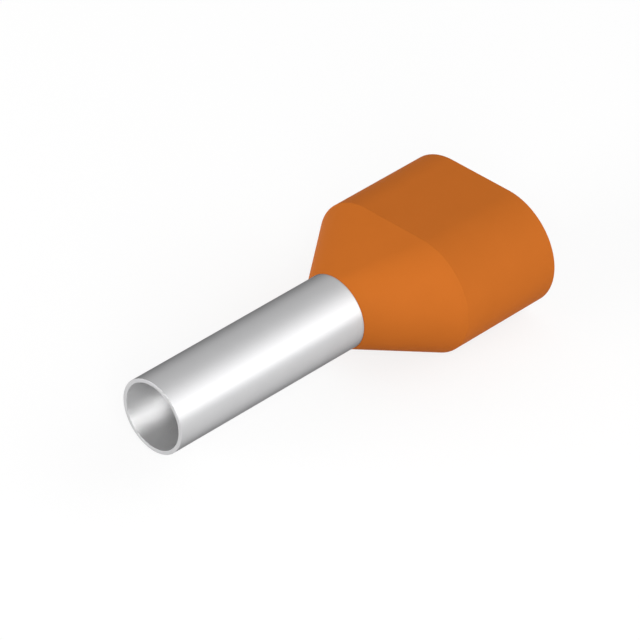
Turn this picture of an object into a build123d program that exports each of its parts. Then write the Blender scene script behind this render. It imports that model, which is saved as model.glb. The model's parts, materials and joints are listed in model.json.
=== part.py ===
"""Twin wire ferrule for two 2.5 mm2 stranded conductors.

It is made of two pieces. The contact sleeve is a thin drawn copper tube, plated with tin, whose
inner end is opened into a bell. The insulating collar is moulded round that bell. From a lip on the
sleeve it flares out of a circle into a slot with round ends, and then runs straight to the mouth,
where both insulated wires enter side by side. Inside, a funnel narrows from the pocket to the bell,
so that the bared strands slide into the sleeve.

The sleeve's axis is X, with its open tip at X = 0 and the wires entering from +X. The two wires lie
side by side along Y, and Z is up. Lengths are in millimetres.
"""

import os

from build123d import *

# Contact sleeve
sleeve_radius = 1.65  # outside
sleeve_wall = 0.17
bare_length = 10.13  # from the tip to the collar's lip
grip_length = 0.35  # straight stretch held inside the collar
bell_length = 1.4  # along the axis
bell_rise = 0.26  # growth of the radius over the bell
bell_bend_radius = 0.6  # where the straight tube turns into the bell
tip_round = 0.015  # deburred edges of the cut end

# Insulating collar
collar_width = 8.45  # outside, along Y
collar_height = 5.25  # outside, along Z
collar_wall = 0.35
flare_length = 3.38
mouth_length = 5.06  # straight stretch, from the flare to the rim
lip_height = 0.015  # how far the lip stands out of the sleeve
pocket_setback = 0.3  # from the end of the flare to where the pocket's straight walls begin
rim_round = 0.05  # both edges of the rim
round_end_flat = 0.02  # flat that pairs a round end, edge by edge, with the slot at its other end

# Stations along the axis
lip_x = bare_length
bell_start_x = lip_x + grip_length
bell_end_x = bell_start_x + bell_length
flare_end_x = lip_x + flare_length
pocket_x = flare_end_x + pocket_setback
rim_x = flare_end_x + mouth_length

# Sizes that follow from those above
bore_radius = sleeve_radius - sleeve_wall
bell_mouth_radius = bore_radius + bell_rise
lip_radius = sleeve_radius + lip_height
slot_run = collar_width - collar_height  # between the centres of the slot's round ends
pocket_height = collar_height - 2 * collar_wall


def wall_line(radius):
    """Draws one face of the sleeve's wall in half section, from the tip to the end of the bell."""
    return FilletPolyline(
        (0, radius),
        (bell_start_x, radius),
        (bell_end_x, radius + bell_rise),
        radius=bell_bend_radius,
    )


def slot_section(x, run, height):
    """Draws a slot across the axis at x, with the centres of its round ends run apart."""
    with BuildSketch(Plane.YZ.offset(x)) as section:
        SlotCenterToCenter(run, height)
    return section.sketch


# Contact sleeve: the wall's half section, turned about the axis.
with BuildPart() as contact_sleeve:
    with BuildSketch(Plane.XZ):
        with BuildLine():
            outside = wall_line(sleeve_radius)
            inside = wall_line(bore_radius)
            Line(outside @ 0, inside @ 0)
            Line(outside @ 1, inside @ 1)
        make_face()
    revolve(axis=Axis.X)
    tip_face = contact_sleeve.faces().sort_by(Axis.X)[0]
    fillet(tip_face.edges(), tip_round)
contact_sleeve.part.label = "contact_sleeve"

# Insulating collar: the flare and the straight mouth, then everything that is hollow in them.
with BuildPart() as insulating_collar:
    lip = slot_section(lip_x, round_end_flat, 2 * lip_radius)
    flare_end = slot_section(flare_end_x, slot_run, collar_height)
    loft([lip, flare_end], ruled=True)
    extrude(flare_end, amount=mouth_length)

    # Pocket for the insulated wires, open at the rim, and the funnel from it to the bell's mouth.
    bell_mouth = slot_section(bell_end_x, round_end_flat, 2 * bell_mouth_radius)
    pocket_floor = slot_section(pocket_x, slot_run, pocket_height)
    extrude(pocket_floor, amount=rim_x - pocket_x, mode=Mode.SUBTRACT)
    loft([bell_mouth, pocket_floor], ruled=True, mode=Mode.SUBTRACT)

    # Seat that grips the sleeve and holds its bell, which keeps the sleeve from sliding either way.
    with BuildSketch(Plane.XZ):
        with BuildLine():
            seat = wall_line(sleeve_radius)
            Polyline(seat @ 0, (0, 0), (bell_end_x, 0), seat @ 1)
        make_face()
    revolve(axis=Axis.X, mode=Mode.SUBTRACT)

    rim_face = insulating_collar.faces().sort_by(Axis.X)[-1]
    fillet(rim_face.edges(), rim_round)
insulating_collar.part.label = "insulating_collar"

os.makedirs("parts", exist_ok=True)
for piece in (contact_sleeve, insulating_collar):
    export_step(piece.part, f"parts/{piece.part.label}.step")
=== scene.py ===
"""The looks of a twin wire ferrule: a tin-plated copper sleeve in a flared orange collar.

Both pieces are closed surfaces worked out on a grid, one direction along a closed outline and the
other round the piece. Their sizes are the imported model's own, so each stands where its solid is.
All lengths are in metres, and MM is one millimetre.
"""

import json
import math

import bpy
import numpy as np
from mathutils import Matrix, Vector


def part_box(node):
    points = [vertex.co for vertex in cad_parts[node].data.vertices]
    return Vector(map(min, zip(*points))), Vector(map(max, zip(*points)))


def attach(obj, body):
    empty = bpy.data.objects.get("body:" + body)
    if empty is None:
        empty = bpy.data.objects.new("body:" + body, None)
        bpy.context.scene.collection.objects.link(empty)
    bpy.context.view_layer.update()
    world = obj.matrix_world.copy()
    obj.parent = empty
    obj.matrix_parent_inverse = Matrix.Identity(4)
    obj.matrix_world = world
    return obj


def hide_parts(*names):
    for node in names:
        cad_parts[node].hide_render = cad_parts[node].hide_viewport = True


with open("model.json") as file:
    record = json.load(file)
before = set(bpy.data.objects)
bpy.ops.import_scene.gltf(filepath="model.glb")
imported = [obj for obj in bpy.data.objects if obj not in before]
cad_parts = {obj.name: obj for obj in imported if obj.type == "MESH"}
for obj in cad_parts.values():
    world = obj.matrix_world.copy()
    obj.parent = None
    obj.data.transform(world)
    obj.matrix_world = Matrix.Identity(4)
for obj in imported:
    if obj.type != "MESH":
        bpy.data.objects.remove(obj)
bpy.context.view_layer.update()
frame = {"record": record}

MM = 0.001

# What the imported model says
sleeve_low, sleeve_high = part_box("contact_sleeve")
collar_low, collar_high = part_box("insulating_collar")
mounts = {mount["name"]: mount["dims"] for mount in frame["record"]["mounts"] if mount["dims"]}
sleeve_radius = mounts["sleeve_pin"]["r_mm"] * MM
bore_radius = mounts["conductor_bore"]["r_mm"] * MM
bell_rise = sleeve_high.z - sleeve_radius
bell_end_x = sleeve_high.x
lip_x = collar_low.x
rim_x = collar_high.x
collar_radius = collar_high.z
slot_run = 2 * (collar_high.y - collar_high.z)  # between the centres of the slot's round ends

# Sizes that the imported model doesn't say
bell_length = 1.4 * MM
bell_bend_radius = 0.6 * MM
collar_wall = 0.35 * MM
flare_length = 3.38 * MM
lip_height = 0.015 * MM
pocket_setback = 0.3 * MM  # from the flare's wide end to the funnel's
seat_clearance = 0.004 * MM

# Rounds of edges and creases
tip_round = 0.015 * MM
bore_round = 0.006 * MM
bell_round = 0.02 * MM
lip_round = 0.004 * MM
crease_round = 0.05 * MM
pocket_round = 0.2 * MM
rim_round = 0.02 * MM

mesh_step = 0.25 * MM  # along an outline, between its rounds

bell_start_x = bell_end_x - bell_length
flare_end_x = lip_x + flare_length
pocket_x = flare_end_x + pocket_setback


# Outlines


def rounded_outline(corners, radii, step, turn=math.radians(7)):
    """Points of a closed outline whose corners are rounded.

    Each corner gives way to the circular arc that touches both of its sides, worked out from the
    unit vectors along the sides: the arc's centre lies on their bisector, radius / cos(half the
    turn) away. It works in any number of dimensions. The sides between arcs are divided into
    lengths of about one step, with one point close to each arc so that shading stays crisp.
    """
    corners = np.array(corners, float)
    parts = []
    for corner, before, after, radius in zip(
        corners, np.roll(corners, 1, axis=0), np.roll(corners, -1, axis=0), radii
    ):
        back = (before - corner) / np.linalg.norm(before - corner)
        on = (after - corner) / np.linalg.norm(after - corner)
        half_turn = (math.pi - math.acos(np.clip(back @ on, -1, 1))) / 2
        middle = (back + on) / np.linalg.norm(back + on)
        across = (on - back) / np.linalg.norm(on - back)
        centre = corner + middle * radius / math.cos(half_turn)
        angle = np.linspace(-half_turn, half_turn, 2 + int(2 * half_turn / turn))[:, None]
        parts.append(centre + radius * (np.sin(angle) * across - np.cos(angle) * middle))
    outline = []
    for arc, following in zip(parts, parts[1:] + parts[:1]):
        outline.append(arc)
        side = following[0] - arc[-1]
        length = np.linalg.norm(side)
        near = min(0.3 * length, 0.5 * np.linalg.norm(arc[-1] - arc[-2]) + 0.01 * MM) / length
        share = np.linspace(near, 1 - near, 2 + int(length / step))[:, None]
        outline.append(arc[-1] + share * side)
    return np.concatenate(outline)


def grid_piece(name, points):
    """A mesh over a grid of points that closes on itself in both directions.

    The first index runs along the outline, +X on the outside, and the second runs round the piece
    from +Y towards +Z, so the faces (i, j), (i, j + 1), (i + 1, j + 1), (i + 1, j) look outwards.
    """
    rows, columns = points.shape[:2]
    index = np.arange(rows * columns).reshape(rows, columns)
    next_row = np.roll(index, -1, axis=0)
    quads = np.stack(
        (index, np.roll(index, -1, axis=1), np.roll(next_row, -1, axis=1), next_row), axis=-1
    ).reshape(-1, 4)
    mesh = bpy.data.meshes.new(name)
    mesh.vertices.add(rows * columns)
    mesh.vertices.foreach_set("co", points.astype(np.float32).ravel())
    mesh.loops.add(quads.size)
    mesh.loops.foreach_set("vertex_index", quads.astype(np.int32).ravel())
    mesh.polygons.add(len(quads))
    mesh.polygons.foreach_set("loop_start", np.arange(0, quads.size, 4, dtype=np.int32))
    mesh.update(calc_edges=True)
    mesh.shade_smooth()
    piece = bpy.data.objects.new(name, mesh)
    bpy.context.scene.collection.objects.link(piece)
    return piece


# Pieces


def contact_sleeve():
    """The sleeve: its wall's outline turned about the X axis.

    A point of the outline is (x, radius), and the surface is x, radius cos(a), radius sin(a). The
    outline goes out along the tube, up the bell, and back along the bore.
    """
    corners = (
        (0, sleeve_radius),
        (bell_start_x, sleeve_radius),
        (bell_end_x, sleeve_radius + bell_rise),
        (bell_end_x, bore_radius + bell_rise),
        (bell_start_x, bore_radius),
        (0, bore_radius),
    )
    radii = (tip_round, bell_bend_radius, bell_round, bell_round, bell_bend_radius, bore_round)
    outline = rounded_outline(corners, radii, mesh_step)
    around = 288
    angle = np.arange(around) * 2 * math.pi / around
    x, radius = outline[:, :1], outline[:, 1:]
    points = np.stack(
        (x + 0 * angle, radius * np.cos(angle), radius * np.sin(angle)), axis=-1
    )
    return grid_piece("tinned_sleeve", points)


def insulating_collar():
    """The collar: a slot with round ends, carried along a closed outline.

    A point of the outline is (x, run, radius). The slot there has ends of that radius, with their
    centres run apart along Y, so the surface is x, side run / 2 + radius cos(a), radius sin(a).
    Over the +Y end side is 1, over the -Y end it is -1, and over the flats it goes from one to the
    other while a stays upright. Where run is nearly nothing the slot is a circle. The outline goes
    from the lip up the flare to the rim, back down the pocket and the funnel, and along the seat.
    """
    seat_radius = sleeve_radius + seat_clearance
    seat_bell_x = bell_end_x + seat_clearance
    round_run = 0.0002 * MM
    corners = (
        (lip_x, round_run, seat_radius),
        (lip_x, round_run, sleeve_radius + lip_height),
        (flare_end_x, slot_run, collar_radius),
        (rim_x, slot_run, collar_radius),
        (rim_x, slot_run, collar_radius - collar_wall),
        (pocket_x, slot_run, collar_radius - collar_wall),
        (seat_bell_x, round_run, bore_radius + bell_rise),
        (seat_bell_x, round_run, seat_radius + bell_rise),
        (bell_start_x, round_run, seat_radius),
    )
    radii = (
        lip_round,
        lip_round,
        crease_round,
        rim_round,
        rim_round,
        pocket_round,
        bell_round,
        bell_round,
        bell_bend_radius,
    )
    outline = rounded_outline(corners, radii, mesh_step)
    end_points, flat_points = 97, 16
    end = np.linspace(-math.pi / 2, math.pi / 2, end_points)
    flat = np.linspace(1, -1, flat_points + 2)[1:-1]
    side = np.concatenate((np.ones(len(end)), flat, -np.ones(len(end)), -flat))
    angle = np.concatenate(
        (end, np.full(len(flat), math.pi / 2), end + math.pi, np.full(len(flat), -math.pi / 2))
    )
    x, run, radius = (outline[:, column : column + 1] for column in range(3))
    points = np.stack(
        (x + 0 * angle, run / 2 * side + radius * np.cos(angle), radius * np.sin(angle)), axis=-1
    )
    return grid_piece("orange_collar", points)


# Shader maths


class Signal:
    """A shader socket. Arithmetic on it adds Math nodes."""

    def __init__(self, nodes, socket):
        self.nodes = nodes
        self.socket = socket

    def __add__(self, other):
        return self.nodes.math("ADD", self, other)

    __radd__ = __add__

    def __sub__(self, other):
        return self.nodes.math("SUBTRACT", self, other)

    def __rsub__(self, other):
        return self.nodes.math("SUBTRACT", other, self)

    def __mul__(self, other):
        return self.nodes.math("MULTIPLY", self, other)

    __rmul__ = __mul__


class Nodes:
    """A tree of nodes, and the coordinates that its patterns follow."""

    def __init__(self, tree, coordinates):
        self.tree = tree
        self.place = self.node("TexCoord", {}, {})[coordinates]

    def node(self, kind, settings, values):
        """Adds a node, sets it up, and feeds its sockets. Gives its outputs by name."""
        made = self.tree.nodes.new("ShaderNode" + kind)
        for setting, value in settings.items():
            setattr(made, setting, value)
        self.feed(made, values)
        return {socket.name: Signal(self, socket) for socket in made.outputs if socket.enabled}

    def feed(self, node, values):
        for key, value in values.items():
            if isinstance(value, Signal):
                self.tree.links.new(value.socket, node.inputs[key])
            else:
                node.inputs[key].default_value = value

    def math(self, operation, *values):
        return self.node("Math", {"operation": operation}, dict(enumerate(values)))["Value"]

    def noise(self, size, detail=2.0, stretch=(1, 1, 1)):
        """Noise about 0.5 whose grains are about one size across, in metres, times stretch."""
        scale = [1 / (size * along) for along in stretch]
        place = self.node("Mapping", {}, {"Vector": self.place, "Scale": scale})["Vector"]
        values = {"Vector": place, "Scale": 1.0, "Detail": detail}
        return self.node("TexNoise", {}, values)["Fac"]

    def ridges(self, pitch):
        """Ridges across the X axis, in a triangle wave from 0 to 1 that repeats after one pitch."""
        settings = {"bands_direction": "X", "wave_profile": "TRI"}
        values = {"Vector": self.place, "Scale": math.pi / (10 * pitch)}
        return self.node("TexWave", settings, values)["Fac"]

    def mix(self, share, low, high):
        """The colour low where share is 0 and high where it is 1."""
        values = {"Factor": share, 6: (*low, 1), 7: (*high, 1)}
        return self.node("Mix", {"data_type": "RGBA"}, values)["Result"]

    def ramp(self, value, low, high):
        """A smooth rise from 0 where value is low to 1 where it is high."""
        settings = {"interpolation_type": "SMOOTHSTEP"}
        return self.node("MapRange", settings, {0: value, 1: low, 2: high})["Result"]

    def relief(self, height, depth):
        """A normal from a height of about 0 to 1, that high in metres."""
        values = {"Height": height, "Distance": depth, "Strength": 1.0}
        return self.node("Bump", {}, values)["Normal"]


class Finish(Nodes):
    """A material and the nodes that make it."""

    def __init__(self, name):
        self.material = bpy.data.materials.new(name)
        self.material.use_nodes = True
        self.shader = self.material.node_tree.nodes["Principled BSDF"]
        super().__init__(self.material.node_tree, "Object")

    def dress(self, piece):
        piece.data.materials.clear()
        piece.data.materials.append(self.material)


# Finishes


def tin_plating():
    """Satin tin over drawn copper: faint lines along the tube, and fine rings inside the tip.

    The rings stand for no real mark. They turn the wall towards the light, so that the bore shows a
    bright band, as if it were lit in the open. Where they are, the colour is also painted lighter:
    painted light in the bore. Their share is 1 near the tip, 0 deeper in the bore and on all the
    rest. The radius that tells the bore from the rest is the square root of y squared plus z
    squared.
    """
    line_depth = 0.0012 * MM
    ring_depth = 0.0105 * MM
    ring_pitch = 0.03 * MM
    rings_fade_from, rings_fade_to = 2.2 * MM, 4.2 * MM
    # light is the paler tone of the faint clouds, and also the painted light in the bore near the
    # tip
    dull, light = (0.585, 0.585, 0.592), (0.76, 0.76, 0.765)
    tin = Finish("tin_plating")
    lines = tin.noise(0.035 * MM, detail=3, stretch=(60, 1, 1))
    clouds = tin.noise(0.7 * MM, detail=3)
    grain = tin.noise(0.05 * MM, detail=2)
    place = tin.node("SeparateXYZ", {}, {"Vector": tin.place})
    radius = tin.math("SQRT", place["Y"] * place["Y"] + place["Z"] * place["Z"])
    inside = tin.math("LESS_THAN", radius, bore_radius + bore_round / 2)
    # Share of the rings near the tip inside the bore, where the colour is also painted lighter as
    # painted light
    rings_and_painted_light = inside * (1.0 - tin.ramp(place["X"], rings_fade_from, rings_fade_to))
    rings = ring_depth / line_depth * tin.ridges(ring_pitch) * rings_and_painted_light
    values = {
        # Inside the bore near the tip the colour is painted lighter, as painted light; elsewhere
        # only the clouds vary it
        "Base Color": tin.mix(0.2 * clouds + 0.8 * rings_and_painted_light, dull, light),
        "Metallic": 1.0,
        "Roughness": 0.34 + 0.06 * clouds + 0.05 * lines + 0.08 * rings_and_painted_light,
        "Specular Tint": (0.1, 0.1, 0.1, 1),
        "Normal": tin.relief(0.7 * lines + 0.3 * grain + rings, line_depth),
    }
    tin.feed(tin.shader, values)
    return tin


def orange_moulding():
    """Matt orange polypropylene: the fine grain of the mould, under faint clouds from its flow."""
    grain_depth = 0.0025 * MM
    deep, pale = (0.474, 0.125, 0.0168), (0.514, 0.136, 0.0189)
    moulding = Finish("orange_moulding")
    grain = moulding.noise(0.06 * MM, detail=3)
    flow = moulding.noise(1.4 * MM, detail=2)
    values = {
        "Base Color": moulding.mix(0.7 * flow + 0.3 * grain, deep, pale),
        "Roughness": 0.5 + 0.1 * grain,
        "Specular IOR Level": 0.01,
        "Normal": moulding.relief(grain, grain_depth),
    }
    moulding.feed(moulding.shader, values)
    return moulding


def paper(white_share):
    """The matt floor: pale grey in the light it throws back, and white where it is seen.

    seen is 1 for what is seen straight, in a gloss or through glass. There, white_share of the
    paper is plain white, and the rest is matt and takes shadows.
    """
    sheet = Finish("paper")
    ray = sheet.node("LightPath", {}, {})
    rays = ray["Is Camera Ray"] + ray["Is Glossy Ray"] + ray["Is Transmission Ray"]
    seen = sheet.math("MINIMUM", rays, 1.0)
    grey = 0.6
    values = {
        "Base Color": grey + (1 - grey) * seen,
        "Roughness": 1.0,
        "Specular IOR Level": 0.0,
    }
    sheet.feed(sheet.shader, values)
    white = sheet.node("Emission", {}, {"Color": (1, 1, 1, 1), "Strength": 1.0})["Emission"]
    matt = Signal(sheet, sheet.shader.outputs["BSDF"])
    both = sheet.node("MixShader", {}, {0: white_share * seen, 1: matt, 2: white})["Shader"]
    sheet.feed(sheet.tree.nodes["Material Output"], {"Surface": both})
    return sheet


# Studio


def direction(azimuth, elevation):
    """The unit vector towards a compass bearing, in degrees from +X towards +Y, and a height."""
    a, e = math.radians(azimuth), math.radians(elevation)
    return Vector((math.cos(e) * math.cos(a), math.cos(e) * math.sin(a), math.sin(e)))


def floor(level, reach, white_share):
    """A square sheet of paper at that level. It goes out to reach on all four sides."""
    low, high = -reach, reach
    corners = ((low, low, level), (high, low, level), (high, high, level), (low, high, level))
    mesh = bpy.data.meshes.new("floor")
    mesh.from_pydata(corners, [], [(0, 1, 2, 3)])
    ground = bpy.data.objects.new("floor", mesh)
    bpy.context.scene.collection.objects.link(ground)
    paper(white_share).dress(ground)


def softbox(name, aim, bearing, level, size, distance):
    """An area lamp that faces aim. level is what it gives a white face turned to it.

    Its power is level times pi squared times the distance squared. size is its width and height.
    """
    lamp = bpy.data.lights.new(name, "AREA")
    lamp.shape = "RECTANGLE"
    lamp.size, lamp.size_y = size
    lamp.energy = level * math.pi**2 * distance**2
    box = bpy.data.objects.new(name, lamp)
    box.location = aim + bearing * distance
    box.rotation_mode = "QUATERNION"
    box.rotation_quaternion = bearing.to_track_quat("Z", "Y")
    box.visible_camera = False
    bpy.context.scene.collection.objects.link(box)


def camera(aim, bearing, distance, lens):
    """A long lens, in millimetres, that looks at aim from that bearing."""
    view = bpy.data.cameras.new("camera")
    view.lens = lens
    view.sensor_width = 36
    view.clip_start, view.clip_end = 0.005, 10
    eye = bpy.data.objects.new("camera", view)
    eye.location = aim + bearing * distance
    eye.rotation_mode = "QUATERNION"
    eye.rotation_quaternion = bearing.to_track_quat("Z", "Y")
    bpy.context.scene.collection.objects.link(eye)
    bpy.context.scene.camera = eye


def surroundings(level, windows, sharpness):
    """Even light of one level all round, and wide soft windows: pairs of a bearing and a level.

    A window's light falls off as the cosine of the angle from its middle, to the power sharpness.
    """
    world = bpy.data.worlds.new("surroundings")
    world.use_nodes = True
    sky = Nodes(world.node_tree, "Generated")
    light = level
    for bearing, window_level in windows:
        dot = sky.node("VectorMath", {"operation": "DOT_PRODUCT"}, {0: sky.place, 1: bearing})
        facing = sky.math("MAXIMUM", dot["Value"], 0.0)
        light = light + window_level * sky.math("POWER", facing, sharpness)
    background = world.node_tree.nodes["Background"]
    sky.feed(background, {"Color": (1, 1, 1, 1), "Strength": light})
    bpy.context.scene.world = world


# The object

sleeve = contact_sleeve()
tin_plating().dress(sleeve)
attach(sleeve, "root")
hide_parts("contact_sleeve")

collar = insulating_collar()
orange_moulding().dress(collar)
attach(collar, "root")
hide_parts("insulating_collar")

# The studio

middle = Vector(((sleeve_low.x + rim_x) / 2, 0, 0))
floor_gap = 0.002 * MM
lamp_distance = 0.3
side_window = (direction(-41, 8), 2.35)
far_window = (direction(45, 30), 0.6)

tip_side = direction(160, 8)
front_side = direction(230, 25)
photo_side = direction(-135, 35.264)

floor(collar_low.z - floor_gap, reach=1.5, white_share=0.8)
surroundings(level=0.17, windows=(side_window, far_window), sharpness=2.5)
softbox("tip_light", middle, tip_side, level=1.15, size=(0.22, 0.16), distance=lamp_distance)
softbox("front_light", middle, front_side, level=0.59, size=(0.09, 0.24), distance=lamp_distance)
camera(middle, photo_side, distance=0.2129, lens=298.3)
bpy.context.scene.view_settings.view_transform = "Standard"
